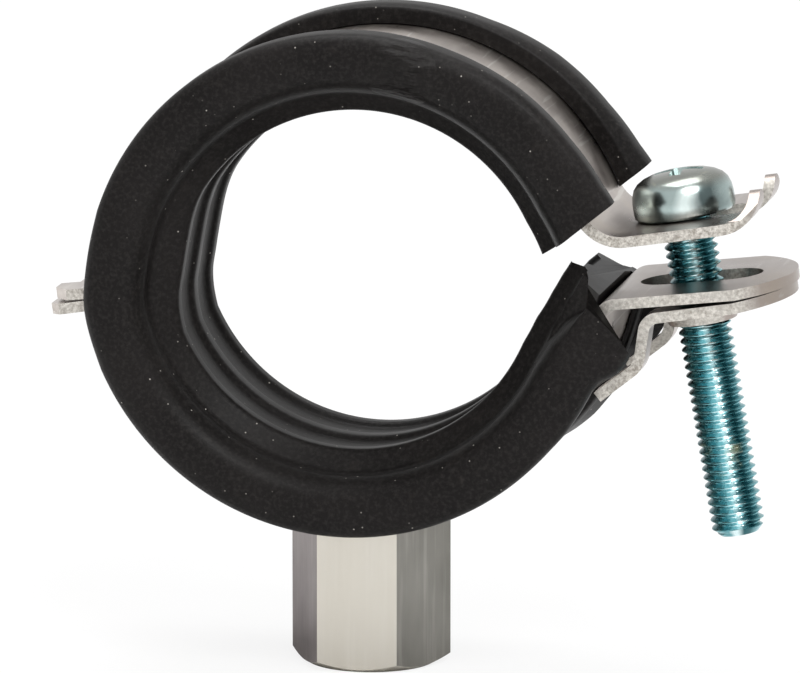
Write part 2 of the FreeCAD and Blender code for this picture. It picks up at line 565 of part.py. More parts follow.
def make_nut_plate():
    """Folded plate under the lower flange, with a threaded collar and two legs."""
    body = new_body("nut_plate", "tip_x", "tip_z", "plate_tilt")
    thickness = size("strip_thickness")
    bend = size("plate_bend_radius") + thickness
    lean = 90 - size("leg_lean")
    foot_turn = lean - size("foot_angle")
    foot_bend = size("foot_bend_radius")
    corner_x = -size("collar_back") - size("plate_leg_offset")
    bend_run = bend * math.tan(math.radians(lean / 2))
    foot_run = foot_bend * math.tan(math.radians(foot_turn / 2))
    leg_run = size("leg_drop") / math.sin(math.radians(lean)) - bend_run - foot_run
    sketch = new_sketch(body, "nut_plate_side", "XZ_Plane")
    near, far = strip_profile(
        sketch, (0, 0), 180,
        [("line", -corner_x - bend_run), ("arc", bend, lean), ("line", leg_run),
         ("arc", foot_bend, -foot_turn), ("line", size("foot_length") - foot_run)])
    sketch.addConstraint(Sketcher.Constraint("Horizontal", near[0]))
    sketch.addConstraint(Sketcher.Constraint("Coincident", near[0], 1, -1, 1))
    bind(sketch, "thickness", "plate_bend_radius", "Radius", far[1], size("plate_bend_radius"))
    bind(sketch, "bend", "plate_bend_radius + strip_thickness", "Radius", near[1], bend)
    bind(sketch, "foot_bend", "foot_bend_radius", "Radius", near[3], foot_bend)
    bind(sketch, "leg_place", "collar_back + plate_leg_offset - ( plate_bend_radius"
         " + strip_thickness ) * tan( ( 90 - leg_lean ) / 2 * 1deg )",
         "DistanceX", near[1], 1, -1, 1, -corner_x - bend_run)
    pad(body, sketch, "nut_plate_strip", "strip_width")

    end = new_sketch(body, "plate_end_outline", "XY_Plane")
    half = size("strip_width") / 2
    wide = half + OVERCUT
    bulge = size("lower_flange_bulge")
    radius = (half ** 2 + bulge ** 2) / (2 * bulge)
    spread = math.degrees(math.asin(half / radius))
    end.addGeometry(arc((-radius, 0), radius, -spread, spread))
    points = [(-bulge, half), (-bulge, wide), (OVERCUT, wide), (OVERCUT, -wide),
              (-bulge, -wide), (-bulge, -half)]
    for index in range(5):
        end.addGeometry(line(points[index], points[index + 1]))
    close_loop(end, 0, 6)
    bind(end, "round", "lower_flange_bulge / 2 + ( strip_width / 2 ) ^ 2"
         " / ( 2 * lower_flange_bulge )", "Radius", 0, radius)
    pocket(body, end, "plate_end")

    window = new_sketch(body, "leg_window_outline", "XY_Plane")
    inner_half = half - size("leg_width")
    top = corner_x + bend_run
    past_feet = corner_x - size("leg_drop") - size("foot_length") - OVERCUT
    polygon(window, [(top, inner_half), (past_feet, inner_half),
                     (past_feet, -inner_half), (top, -inner_half)])
    pocket(body, window, "leg_window")

    collar = new_sketch(body, "collar_outline", "XZ_Plane")
    axis_x = -size("collar_back")
    top_radius = size("collar_top_diameter") / 2
    end_radius = size("collar_end_diameter") / 2
    depth = thickness + size("collar_height")
    polygon(collar, [(axis_x, -thickness / 2), (axis_x + top_radius, -thickness / 2),
                     (axis_x + top_radius, -thickness), (axis_x + end_radius, -depth),
                     (axis_x, -depth)])
    boss = body.newObject("PartDesign::Revolution", "collar")
    boss.Profile = collar
    boss.ReferenceAxis = (collar, ["Edge5"])
    boss.Angle = 360
    doc.recompute()

    bore = new_sketch(body, "collar_bore_outline", "XY_Plane")
    bore.addGeometry(Part.Circle(FreeCAD.Vector(axis_x, 0, 0), FreeCAD.Vector(0, 0, 1),
                                 size("screw_diameter") / 2 + size("collar_clearance")))
    bore.addConstraint(Sketcher.Constraint("PointOnObject", 0, 3, -1))
    bind(bore, "bore", "screw_diameter / 2 + collar_clearance", "Radius", 0,
         size("screw_diameter") / 2 + size("collar_clearance"))
    bind(bore, "place", "collar_back", "DistanceX", 0, 3, -1, 1, size("collar_back"))
    pocket(body, bore, "collar_bore")
    return body


def make_clamp_screw():
    """Pan-head screw; its frame stands at the underside of the head, with the shank below."""
    body = new_body("clamp_screw", "seat_x", "seat_z", "screw_tilt")
    shank = size("screw_diameter") / 2
    head = size("head_diameter") / 2
    length = size("screw_length")
    chamfer = size("screw_tip_chamfer")
    edge = size("head_edge_radius")
    side = size("head_side_height")
    crown = size("head_height") - side
    dome = (head ** 2 + crown ** 2) / (2 * crown)
    spread = math.degrees(math.asin(head / dome))
    sketch = new_sketch(body, "screw_half_section", "XZ_Plane")
    sketch.addGeometry(line((0, -length), (shank - chamfer, -length)))
    sketch.addGeometry(line((shank - chamfer, -length), (shank, -length + chamfer)))
    sketch.addGeometry(line((shank, -length + chamfer), (shank, 0)))
    sketch.addGeometry(line((shank, 0), (head - edge, 0)))
    sketch.addGeometry(arc((head - edge, edge), edge, -90, 0))
    sketch.addGeometry(line((head, edge), (head, side)))
    sketch.addGeometry(arc((0, side + crown - dome), dome, 90 - spread, 90))
    sketch.addGeometry(line((0, side + crown), (0, -length)))
    close_loop(sketch, 0, 8)
    for index, kind in ((0, "Horizontal"), (2, "Vertical"), (3, "Horizontal"), (5, "Vertical"),
                        (7, "Vertical")):
        sketch.addConstraint(Sketcher.Constraint(kind, index))
    sketch.addConstraint(Sketcher.Constraint("PointOnObject", 3, 1, -1))
    sketch.addConstraint(Sketcher.Constraint("PointOnObject", 7, 1, -2))
    sketch.addConstraint(Sketcher.Constraint("PointOnObject", 6, 3, -2))
    bind(sketch, "length", "screw_length", "DistanceY", 0, 1, -1, 1, length)
    bind(sketch, "shank", "screw_diameter / 2", "DistanceX", -1, 1, 3, 1, shank)
    bind(sketch, "tip_x", "screw_tip_chamfer", "DistanceX", 0, 2, 1, 2, chamfer)
    bind(sketch, "tip_z", "screw_tip_chamfer", "DistanceY", 0, 2, 1, 2, chamfer)
    bind(sketch, "head", "head_diameter / 2", "DistanceX", -1, 1, 5, 1, head)
    bind(sketch, "side", "head_side_height", "DistanceY", -1, 1, 5, 2, side)
    bind(sketch, "crown", "head_height", "DistanceY", -1, 1, 6, 2, side + crown)
    revolve(body, sketch, "Revolution", "screw_turned", "V_Axis")

    recess = new_sketch(body, "recess_outline", "XY_Plane")
    arm = size("recess_width") / 2
    span = size("recess_span") / 2
    polygon(recess, [(arm, arm), (arm, span), (-arm, span), (-arm, arm), (-span, arm),
                     (-span, -arm), (-arm, -arm), (-arm, -span), (arm, -span), (arm, -arm),
                     (span, -arm), (span, arm)])
    recess.AttachmentOffset = FreeCAD.Placement(FreeCAD.Vector(0, 0, side), FreeCAD.Rotation())
    recess.setExpression("AttachmentOffset.Base.z", cells("head_height - recess_depth"))
    pocket(body, recess, "cross_recess", "head_height", reverse=True)
    return body


def make_connecting_nut():
    """Hexagon nut welded to the lowest point of the lower band, with two threads in line."""
    body = new_body("connecting_nut")
    flats = size("nut_across_flats")
    corner = flats / math.sqrt(3)
    hexagon = new_sketch(body, "nut_hexagon", "XY_Plane")
    points = [(corner * math.cos(math.radians(60 * i)), corner * math.sin(math.radians(60 * i)))
              for i in range(6)]
    polygon(hexagon, points)
    circle = hexagon.addGeometry(Part.Circle(FreeCAD.Vector(0, 0, 0), FreeCAD.Vector(0, 0, 1),
                                             corner), True)
    hexagon.addConstraint(Sketcher.Constraint("Coincident", circle, 3, -1, 1))
    for index in range(6):
        hexagon.addConstraint(Sketcher.Constraint("PointOnObject", index, 1, circle))
    for index in range(5):
        hexagon.addConstraint(Sketcher.Constraint("Equal", index, index + 1))
    hexagon.addConstraint(Sketcher.Constraint("PointOnObject", 0, 1, -1))
    bind(hexagon, "corner", "nut_across_flats / sqrt(3)", "Radius", circle, corner)
    pad(body, hexagon, "nut_bar", "nut_height + strip_thickness", midplane=False)

    saddle = new_sketch(body, "nut_saddle_outline", "XZ_Plane")
    centre = (size("lower_centre_x"), size("ring_height") + size("lower_centre_z"))
    saddle.addGeometry(Part.Circle(FreeCAD.Vector(centre[0], centre[1], 0),
                                   FreeCAD.Vector(0, 0, 1), size("band_radius")))
    bind(saddle, "band", "band_radius", "Radius", 0, size("band_radius"))
    hold_point(saddle, "centre", 0, 3, "lower_centre_x", "ring_height + lower_centre_z", *centre)
    pocket(body, saddle, "nut_saddle")

    rim = size("nut_chamfer_face") / 2
    outer = corner + OVERCUT
    rise = (outer - rim) * math.tan(math.radians(size("nut_chamfer_angle")))
    edge = new_sketch(body, "nut_chamfer_section", "XZ_Plane")
    polygon(edge, [(rim, 0), (outer, rise), (outer, -OVERCUT), (rim, -OVERCUT)])
    revolve(body, edge, "Groove", "nut_chamfer", "V_Axis")

    for name, diameter, depth in (("large_thread", "large_thread_diameter", "large_thread_depth"),
                                  ("small_thread", "small_thread_diameter", "small_thread_depth")):
        hole = new_sketch(body, name + "_outline", "XY_Plane")
        hole.addGeometry(Part.Circle(FreeCAD.Vector(0, 0, 0), FreeCAD.Vector(0, 0, 1),
                                     size(diameter) / 2))
        hole.addConstraint(Sketcher.Constraint("Coincident", 0, 3, -1, 1))
        bind(hole, "core", diameter, "Diameter", 0, size(diameter))
        pocket(body, hole, name, depth, reverse=True)
    if size("nut_height") <= size("small_thread_depth"):
        raise RuntimeError("the thread breaks into the band")
    return body


def lining_section(sketch, band):
    """Cross-section of the rubber above its arc centre: ribs, grooves, beads and gripping lips."""
    clear = size("lining_clearance")
    inside = size(band) - size("strip_thickness") - clear
    outside = size(band) + clear
    strip = size("strip_width") / 2 + clear
    face = size("lining_half_width")
    crest = size("rib_radius")
    valley = crest + size("rib_height")
    half = size("rib_half_width")
    pitch = size("rib_spacing")
    top = size("lining_radius")
    groove = size("groove_radius")
    ridge = size("bead_ridge_radius")
    lip = size("bead_lip_start")
    trough = size("groove_place")
    slope = size("rib_height")
    right = [(half, crest), (half + slope, valley), (pitch - half - slope, valley),
             (pitch - half, crest), (pitch + half, crest), (trough, groove), (trough + 1.0, groove),
             (face - 0.7, ridge - 0.7), (face, ridge), (face, top - 0.9), (face - 0.25, top - 0.25),
             (face - 0.9, top), (lip + 0.9, top), (lip + 0.1, top - 0.3), (lip, outside),
             (strip, outside), (strip, inside)]
    left = [(-y, z) for y, z in reversed(right)]
    first = polygon(sketch, right + left)
    sketch.addConstraint(Sketcher.Constraint("Symmetric", first, 1, first + 33, 1, -2))
    bind(sketch, "crest", "rib_radius", "DistanceY", -1, 1, first, 1, crest)
    bind(sketch, "channel_top", band + " + lining_clearance", "DistanceY",
         -1, 1, first + 14, 1, outside)
    bind(sketch, "channel_floor", band + " - strip_thickness - lining_clearance", "DistanceY",
         -1, 1, first + 16, 1, inside)
    bind(sketch, "face", "lining_half_width", "DistanceX", -1, 1, first + 8, 1, face)
    bind(sketch, "outer", "lining_radius", "DistanceY", -1, 1, first + 11, 1, top)


def lining_body(label, band, x, z, tilt):
    body = new_body(label, x, z, tilt)
    sketch = new_sketch(body, label + "_section", "YZ_Plane")
    lining_section(sketch, band)
    revolve(body, sketch, "Revolution", label + "_ring", "H_Axis")
    return body


def pipe_seat(body, centre_x, centre_z, tilt):
    """Trims the ribs to one true circle about the pipe's centre."""
    seat = new_sketch(body, body.Label + "_seat_outline", "XZ_Plane")
    turn = math.radians(size(tilt))
    x = -size(centre_x) * math.cos(turn) - size(centre_z) * math.sin(turn)
    z = size(centre_x) * math.sin(turn) - size(centre_z) * math.cos(turn)
    seat.addGeometry(Part.Circle(FreeCAD.Vector(x, z, 0), FreeCAD.Vector(0, 0, 1),
                                 size("seat_radius")))
    bind(seat, "seat", "seat_radius", "Radius", 0, size("seat_radius"))
    hold_point(seat, "centre", 0, 3,
               f"-{centre_x} * cos({tilt} * 1deg) - {centre_z} * sin({tilt} * 1deg)",
               f"{centre_x} * sin({tilt} * 1deg) - {centre_z} * cos({tilt} * 1deg)", x, z)
    pocket(body, seat, body.Label + "_seat")


def hinge_notch(body, name, high, width, depth):
    """Cuts the rubber away round the hinge, up to a depth inside the strip's inner face."""
    notch = new_sketch(body, name + "_outline", "XZ_Plane")
    outer = -size("lining_radius") - OVERCUT
    inner = -size("band_radius") + size("strip_thickness") + depth
    low = -size("ear_slot_depth")
    polygon(notch, [(outer, low), (inner, low), (inner, high), (outer, high)])
    pocket(body, notch, name, width, midplane=True)


def make_lower_lining():
    """Rubber round the lower band, cut off slantwise at the flange, with swollen bead ends."""
    body = lining_body("lower_lining", "band_radius", "lower_centre_x",
                       "ring_height + lower_centre_z", "lower_tilt")
    far = size("flare_radius") + OVERCUT
    place = math.radians(size("lower_end_place"))
    slope = math.radians(size("lower_end_slope"))
    corner = (size("lower_end_radius") * math.cos(place), -size("lower_end_radius") * math.sin(place))
    hinge_end = -size("lower_lining_hinge_end")

    start = math.radians(size("flare_start"))
    swollen = size("flare_radius")
    begin = (size("lining_radius") * math.cos(start), -size("lining_radius") * math.sin(start))
    bend = (begin[0] + size("flare_run") * math.sin(start),
            begin[1] + size("flare_run") * math.cos(start))
    along = (math.cos(slope), -math.sin(slope))
    middle = corner[0] * along[0] + corner[1] * along[1]
    run = math.sqrt(middle ** 2 - corner[0] ** 2 - corner[1] ** 2 + swollen ** 2) - middle
    outer = (corner[0] + run * along[0], corner[1] + run * along[1])
    inner = (size("band_radius") * math.cos(place), -size("band_radius") * math.sin(place))
    swell = new_sketch(body, "flare_outline", "XZ_Plane")
    polygon(swell, [begin, bend, outer, inner])
    swell.setExpression("AttachmentOffset.Base.z", cells("flare_inner"))
    flare = pad(body, swell, "flare", "lining_half_width - flare_inset - flare_inner", midplane=False)
    mirror = body.newObject("PartDesign::Mirrored", "flare_pair")
    mirror.Originals = [flare]
    plane = next(item for item in body.Origin.OriginFeatures if item.Role == "XZ_Plane")
    mirror.MirrorPlane = (plane, [""])
    body.Tip = mirror
    doc.recompute()

    cut = new_sketch(body, "lower_lining_cut_outline", "XZ_Plane")
    polygon(cut, [(-far, hinge_end), (0, hinge_end), (corner[0] / 2, corner[1]), corner,
                  (corner[0] + far, corner[1] - far * math.tan(slope)), (corner[0] + far, far),
                  (-far, far)])
    pocket(body, cut, "lower_lining_cut")

    relief = new_sketch(body, "flange_relief_outline", "XZ_Plane")
    near = size("band_radius") - size("strip_thickness") - size("bend_clearance")
    low = (-size("lower_flange_drop") - size("strip_thickness") - size("lower_bend_radius")
           - size("hinge_clearance"))
    polygon(relief, [(near, low), (far, low), (far, 0), (near, 0)])
    pocket(body, relief, "flange_relief", "strip_width + hinge_clearance * 2", midplane=True)

    pipe_seat(body, "lower_centre_x", "lower_centre_z", "lower_tilt")
    hinge_notch(body, "ear_notch", far, "strip_width + hinge_clearance * 2",
                size("lining_clearance"))
    hinge_notch(body, "neck_relief", far, "hook_neck_width + hinge_clearance * 2",
                size("neck_clearance"))
    return body


def make_upper_lining():
    """Rubber round the upper band, cut off slantwise at the flange."""
    body = lining_body("upper_lining", "upper_band_radius", "upper_centre_x",
                       "ring_height + upper_centre_z", "upper_tilt")
    far = size("lining_radius") + OVERCUT
    place = math.radians(size("upper_end_place"))
    slope = math.tan(math.radians(size("upper_end_slope")))
    corner = (size("upper_end_radius") * math.cos(place), size("upper_end_radius") * math.sin(place))
    hinge_end = size("upper_lining_hinge_end")
    cut = new_sketch(body, "upper_lining_cut_outline", "XZ_Plane")
    half = corner[0] / 2
    polygon(cut, [(-far, hinge_end), (-half, hinge_end), (half, corner[1] - half * slope),
                  (far, corner[1] + (far - corner[0]) * slope), (far, -far), (-far, -far)])
    pocket(body, cut, "upper_lining_cut")

    relief = new_sketch(body, "bend_relief_outline", "XZ_Plane")
    outside = size("upper_band_radius")
    near = outside - size("strip_thickness")
    bend = size("upper_bend_radius")
    high = (size("upper_flange_rise") + bend) * outside / (outside + bend) + size("hinge_clearance")
    polygon(relief, [(near, 0), (far, 0), (far, high), (near, high)])
    pocket(body, relief, "bend_relief", "strip_width + hinge_clearance * 2", midplane=True)

    pipe_seat(body, "upper_centre_x", "upper_centre_z", "upper_tilt")
    return body


def check_document(bodies):
    """Raises on any failed feature or any piece that is not one valid solid."""
    doc.recompute()
    for item in doc.Objects:
        if "Invalid" in item.State or "Error" in item.State:
            raise RuntimeError(item.Label + " failed")
    for body in bodies:
        if body.Shape.isNull() or not body.Shape.isValid():
            raise RuntimeError(body.Label + " has no valid shape")
        if len(body.Shape.Solids) != 1:
            raise RuntimeError(body.Label + " is not one solid")


pieces = [make_lower_band(), make_upper_band(), make_nut_plate(), make_clamp_screw(),
          make_connecting_nut(), make_lower_lining(), make_upper_lining()]
check_document(pieces)
os.makedirs("parts", exist_ok=True)
for piece in pieces:
    piece.Shape.exportStep("parts/" + piece.Label + ".step")
    print(piece.Label, round(piece.Shape.Volume, 1), "mm3")
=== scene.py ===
import math

import bmesh
import bpy
from mathutils import Matrix, Vector


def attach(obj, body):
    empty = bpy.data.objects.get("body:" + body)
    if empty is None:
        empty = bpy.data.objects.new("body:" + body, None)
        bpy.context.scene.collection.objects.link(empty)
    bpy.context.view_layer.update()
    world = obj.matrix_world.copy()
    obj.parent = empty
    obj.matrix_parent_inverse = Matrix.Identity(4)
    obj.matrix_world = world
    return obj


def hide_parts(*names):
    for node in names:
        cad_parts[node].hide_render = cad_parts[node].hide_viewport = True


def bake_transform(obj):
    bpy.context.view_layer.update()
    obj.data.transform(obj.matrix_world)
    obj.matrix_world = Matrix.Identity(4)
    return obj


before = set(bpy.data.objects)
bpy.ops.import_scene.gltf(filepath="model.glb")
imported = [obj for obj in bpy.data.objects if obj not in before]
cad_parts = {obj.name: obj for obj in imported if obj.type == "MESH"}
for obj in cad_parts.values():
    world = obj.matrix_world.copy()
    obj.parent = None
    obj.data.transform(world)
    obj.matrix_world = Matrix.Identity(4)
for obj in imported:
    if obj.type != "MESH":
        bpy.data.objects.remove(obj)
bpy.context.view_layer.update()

# Tables and sizes are in mm and degrees. Objects are made in metres.
MM = 0.001
FULL_TURN = 360


def new_object(name, verts, faces, shade_smooth=True):
    mesh = bpy.data.meshes.new(name)
    mesh.from_pydata([Vector(v) * MM for v in verts], [], faces)
    mesh.validate()
    work = bmesh.new()
    work.from_mesh(mesh)
    bmesh.ops.recalc_face_normals(work, faces=work.faces)
    work.to_mesh(mesh)
    work.free()
    for polygon in mesh.polygons:
        polygon.use_smooth = shade_smooth
    made = bpy.data.objects.new(name, mesh)
    bpy.context.scene.collection.objects.link(made)
    return made


def soft_corners(points, steps=3, reach=0.48):
    """Closed outline of (y, r, radius) with each corner rounded by its radius.

    A corner takes at most the given share of the side that it rounds.
    """
    out = []
    count = len(points)
    for i, (y, r, radius) in enumerate(points):
        if radius <= 0:
            out.append((y, r))
            continue
        here = Vector((y, r))
        back = Vector(points[i - 1][:2]) - here
        ahead = Vector(points[(i + 1) % count][:2]) - here
        a = here + back.normalized() * min(radius, back.length * reach)
        b = here + ahead.normalized() * min(radius, ahead.length * reach)
        for k in range(steps + 1):
            u = k / steps
            p = a * (1 - u) ** 2 + here * 2 * u * (1 - u) + b * u ** 2
            out.append((p.x, p.y))
    return out


def lerp_table(table, x):
    if x <= table[0][0]:
        return table[0][1]
    for (x0, y0), (x1, y1) in zip(table, table[1:]):
        if x <= x1:
            u = (x - x0) / (x1 - x0)
            return y0 + (y1 - y0) * u
    return table[-1][1]


def ease(x, lo, hi):
    """Soft step from 0 at lo to 1 at hi."""
    u = min(1, max(0, (x - lo) / (hi - lo)))
    return u * u * (3 - 2 * u)


# The two halves of the ring are arcs with centres of their own, given as x and z.
LOWER_CENTRE = (-0.3, 38.6)
UPPER_CENTRE = (0.3, 35.4)

# Half of the rubber's cross-section: place along the pipe, radius from the arc centre and corner
# radius. It runs from the middle rib over a side rib and the groove to the bead, round the bead
# and under its lip into the channel in which the band lies.
HALF_SECTION = [
    (0.0, 17.35, 0), (0.8, 17.35, 0.3), (1.4, 17.9, 0.3), (5.2, 17.9, 0.3), (5.8, 17.35, 0.3),
    (6.5, 17.35, 0), (6.7, 17.35, 0), (7.2, 17.35, 0.45), (8.9, 19.35, 0.5), (9.9, 19.4, 0.5),
    (11.2, 20.1, 0.8), (12.0, 21.2, 0.9), (12.0, 23.7, 0.8), (11.2, 24.95, 0.7), (8.3, 25.0, 0.6),
    (7.5, 24.7, 0.3), (7.5, 24.2, 0), (9.05, 24.2, 0), (9.05, 23.0, 0), (6.7, 23.0, 0),
    (6.5, 23.0, 0), (0.0, 23.0, 0),
]
CHANNEL = (22.9, 24.3)  # radii between which the channel's faces lie
CHANNEL_SIDE = 9.1
UPPER_INSET = 1.0  # the upper band lies this much nearer its arc centre than the lower one
RIB_FADE = (17.9, 19.3)  # what bends the ribs fades out between these radii
INNER_FADE = (19.4, 22.9)  # what swells the inner side fades out between these radii


def lining_section():
    right = HALF_SECTION[:-1]
    left = [(-y, r, radius) for y, r, radius in reversed(right[1:])]
    return soft_corners(right + left)


# Stations along the rubber: 0 is the lower end, 1 to HINGE_END the hinge and 2 the upper end.
# The angles are those of the arcs, measured from +X and running down and round the ring.
HINGE_END = 1.06
LOWER_START = -6
LOWER_HINGE = -168
UPPER_HINGE = -182
UPPER_STOP = -334
ARC_STEPS = 120
HINGE_STEPS = 8
END_POWER = 6  # the form of an end dies out along the rubber with this power

# How much the bead swells towards each end, by the angle: outside, and on the inner side.
FRONT_FLARE_OUT = [(-40, 0.0), (-33, 0.2), (-21, 0.35), (-18, 0.7), (-16, 1.2), (-12.9, 1.9),
                   (-7, 2.45)]
REAR_FLARE_OUT = [(-50, 0.0), (-45, 0.35), (-40, 0.6), (-35, 0.65), (-30, 0.8), (-24, 1.2),
                  (-13, 2.2)]
FLARE_IN = [(-27, 0.0), (-20, 0.4), (-13, 1.4), (-9, 2.2), (-6, 3.05)]
UPPER_FLARE_OUT = [(24, 1.5), (30, 0.95), (40, 0.55), (54, 0.4), (70, 0.0)]
UPPER_FLARE_IN = [(17, 1.0), (24, 0.45), (34, 0.0)]
LOWER_BEAD_SIDE = (8.9, 9.6)  # the bead begins between these places along the pipe
UPPER_BEAD_SIDE = (7.0, 9.5)
LOWER_BEAD_RADII = (20.5, 24.5)  # and swells more and more between these radii
UPPER_BEAD_RADII = (22.6, 24.6)

# Lower end of the rubber along the pipe: its angle at LOWER_END_RADIUS, and the degrees that it
# loses per mm outside it. A loose block stands up beside the front bead.
LOWER_END_RADIUS = 20.4
LOWER_END = [(-12, -2.3), (-9.5, -4.5), (-9.15, 2.4), (-6.7, 2.4), (-6.5, -1.8), (6.6, -2.0),
             (12, -5.0)]
LOWER_FALL = [(-12, 1.6), (-9.5, 1.6), (-9.15, 0.3), (-6.7, 0.3), (-6.5, 1.5), (6.6, 1.5),
              (12, 0.95)]
BLOCK_FRONT = (-9.5, -9.15)
BLOCK_REAR = (-6.7, -6.5)
BLOCK_FOOT = 22  # outside this radius the block falls away
BLOCK_FALL = 7

# Upper end: its angle at the inner radius, by the place along the pipe, and degrees gained per mm.
UPPER_END = [(-12, 16.6), (12, 17.9)]
UPPER_END_RADIUS = 19.4
UPPER_END_BREAK = 23.6
UPPER_SLANT_IN = 1.05
UPPER_SLANT_OUT = 0.57

# At the hinge the channel moves inwards with the upper band, the ribs are pressed into one soft
# kink, and the channel opens up sideways round the ears and the hook.
INSET_STATIONS = (1.0, 1.07)
KINK_RISE = (0.95, 1.0)
KINK_FALL = (1.12, 1.26)
KINK_DEPTH = 0.7
OPEN_RISE = (0.965, 0.985)
OPEN_FALL = (1.075, 1.1)
LIP_SIDE = 9.3
LIP_RADIUS = 24.0
LIP_OPEN = 9.35
WALL_SIDE = 8.9
WALL_SHIFT = 0.3
EVEN_STATIONS = (0.93, 1.16)
EVEN_ROUNDS = 30


def lower_end_angle(y, r):
    """Angle at which the lower half's rubber ends, for each point of the section."""
    block = ease(y, *BLOCK_FRONT) * (1 - ease(y, *BLOCK_REAR))
    end = lerp_table(LOWER_END, y) - lerp_table(LOWER_FALL, y) * (r - LOWER_END_RADIUS)
    return end - BLOCK_FALL * block * max(0, r - BLOCK_FOOT)


def upper_end_angle(y, r):
    """Angle at which the upper half's rubber ends, for each point of the section."""
    slant = UPPER_SLANT_IN * (min(r, UPPER_END_BREAK) - UPPER_END_RADIUS)
    return lerp_table(UPPER_END, y) + slant + UPPER_SLANT_OUT * max(0, r - UPPER_END_BREAK)


def lining_point(y, r, t):
    """Place in the frame of a point of the section at station t."""
    side = abs(y)
    inner = 1 - ease(r, *INNER_FADE)
    rib = 1 - ease(r, *RIB_FADE)
    if side < CHANNEL_SIDE and CHANNEL[0] < r < CHANNEL[1]:
        r -= UPPER_INSET * ease(t, *INSET_STATIONS)
    r -= KINK_DEPTH * rib * ease(t, *KINK_RISE) * (1 - ease(t, *KINK_FALL))
    if t <= 1:
        angle = LOWER_START * (1 - t) + LOWER_HINGE * t
        flare = FRONT_FLARE_OUT if y < 0 else REAR_FLARE_OUT
        swell = ease(r, *LOWER_BEAD_RADII) * ease(side, *LOWER_BEAD_SIDE)
        r += lerp_table(flare, angle) * swell
        r += lerp_table(FLARE_IN, angle) * inner
        angle += (lower_end_angle(y, r) - LOWER_START) * (1 - t) ** END_POWER
        centre = LOWER_CENTRE
    elif t < HINGE_END:
        u = (t - 1) / (HINGE_END - 1)
        angle = LOWER_HINGE + (UPPER_HINGE - LOWER_HINGE) * u
        centre = tuple(a + (b - a) * u for a, b in zip(LOWER_CENTRE, UPPER_CENTRE))
    else:
        u = (t - HINGE_END) / (2 - HINGE_END)
        angle = UPPER_HINGE * (1 - u) + UPPER_STOP * u
        swell = ease(r, *UPPER_BEAD_RADII) * ease(side, *UPPER_BEAD_SIDE)
        r += lerp_table(UPPER_FLARE_OUT, angle + FULL_TURN) * swell
        r += lerp_table(UPPER_FLARE_IN, angle + FULL_TURN) * inner
        angle += (upper_end_angle(y, r) - UPPER_STOP - FULL_TURN) * u ** END_POWER
        centre = UPPER_CENTRE
    turn = math.radians(angle)
    return centre[0] + r * math.cos(turn), y, centre[1] + r * math.sin(turn)


def even_out(verts, count, stations):
    """Evens the rubber along its length round the hinge, where the two arcs meet."""
    rings = [i for i, t in enumerate(stations) if EVEN_STATIONS[0] < t < EVEN_STATIONS[1]]
    for _ in range(EVEN_ROUNDS):
        before = list(verts)
        for i in rings:
            for k in range(i * count, (i + 1) * count):
                verts[k] = tuple((a + 2 * b + c) / 4 for a, b, c in
                                 zip(before[k - count], before[k], before[k + count]))
    return verts


def lining_stations():
    lower = [i / ARC_STEPS for i in range(ARC_STEPS)]
    hinge = [1 + (HINGE_END - 1) * i / HINGE_STEPS for i in range(HINGE_STEPS)]
    upper = [HINGE_END + (2 - HINGE_END) * i / ARC_STEPS for i in range(ARC_STEPS + 1)]
    return lower + hinge + upper


def opened_side(y, r, opening):
    """Place along the pipe of a point of the section, with the channel opened at the hinge."""
    side = abs(y)
    if side < LIP_SIDE and r > LIP_RADIUS:
        return math.copysign(side + (LIP_OPEN - side) * opening, y)
    if WALL_SIDE < side < LIP_SIDE and r > CHANNEL[0]:
        return math.copysign(side + WALL_SHIFT * opening, y)
    return y


def side_faces(rings, count):
    """Faces between rings of points that follow each other, each closed in itself."""
    faces = []
    for i in range(rings - 1):
        for k in range(count):
            a = i * count + k
            b = i * count + (k + 1) % count
            faces.append((a, b, b + count, a + count))
    return faces


def make_lining():
    section = lining_section()
    stations = lining_stations()
    count = len(section)
    verts = []
    for t in stations:
        opening = ease(t, *OPEN_RISE) * (1 - ease(t, *OPEN_FALL))
        verts += [lining_point(opened_side(y, r, opening), r, t) for y, r in section]
    verts = even_out(verts, count, stations)
    last = (len(stations) - 1) * count
    faces = side_faces(len(stations), count)
    faces.append(tuple(range(count)))
    faces.append(tuple(range(last + count - 1, last - 1, -1)))
    return new_object("rubber_lining", verts, faces)


# The screw's own frame has its origin under the head, on the upper flange, and +Z along the head.
SEAT = Vector((29.426, 0, 43.0))
SCREW_TILT = math.radians(10)
SHANK_LENGTH = 30.0
THREAD_RADIUS = 2.46
THREAD_DEPTH = 0.46
THREAD_PITCH = 0.8
THREAD_FLAT = 0.0625  # half the width of the flat crest and of the flat root, in pitches
THREAD_FLANK = 0.375
THREAD_RUN_OUT = 0.9  # length under the head in which the thread rises from the plain neck
NECK_SHARE = 0.62  # how deep in the thread the neck's surface lies
TIP_TAPER = 0.7
THREAD_AROUND = 40
ROWS_PER_PITCH = 10


def thread_form(u):
    """Depth from the crest, 0 to 1, over one pitch of the thread."""
    from_crest = min(u % 1.0, 1 - u % 1.0)
    return min(1.0, max(0.0, (from_crest - THREAD_FLAT) / THREAD_FLANK))


def circle(radius, z, around):
    for k in range(around):
        angle = 2 * math.pi * k / around
        yield radius * math.cos(angle), radius * math.sin(angle), z


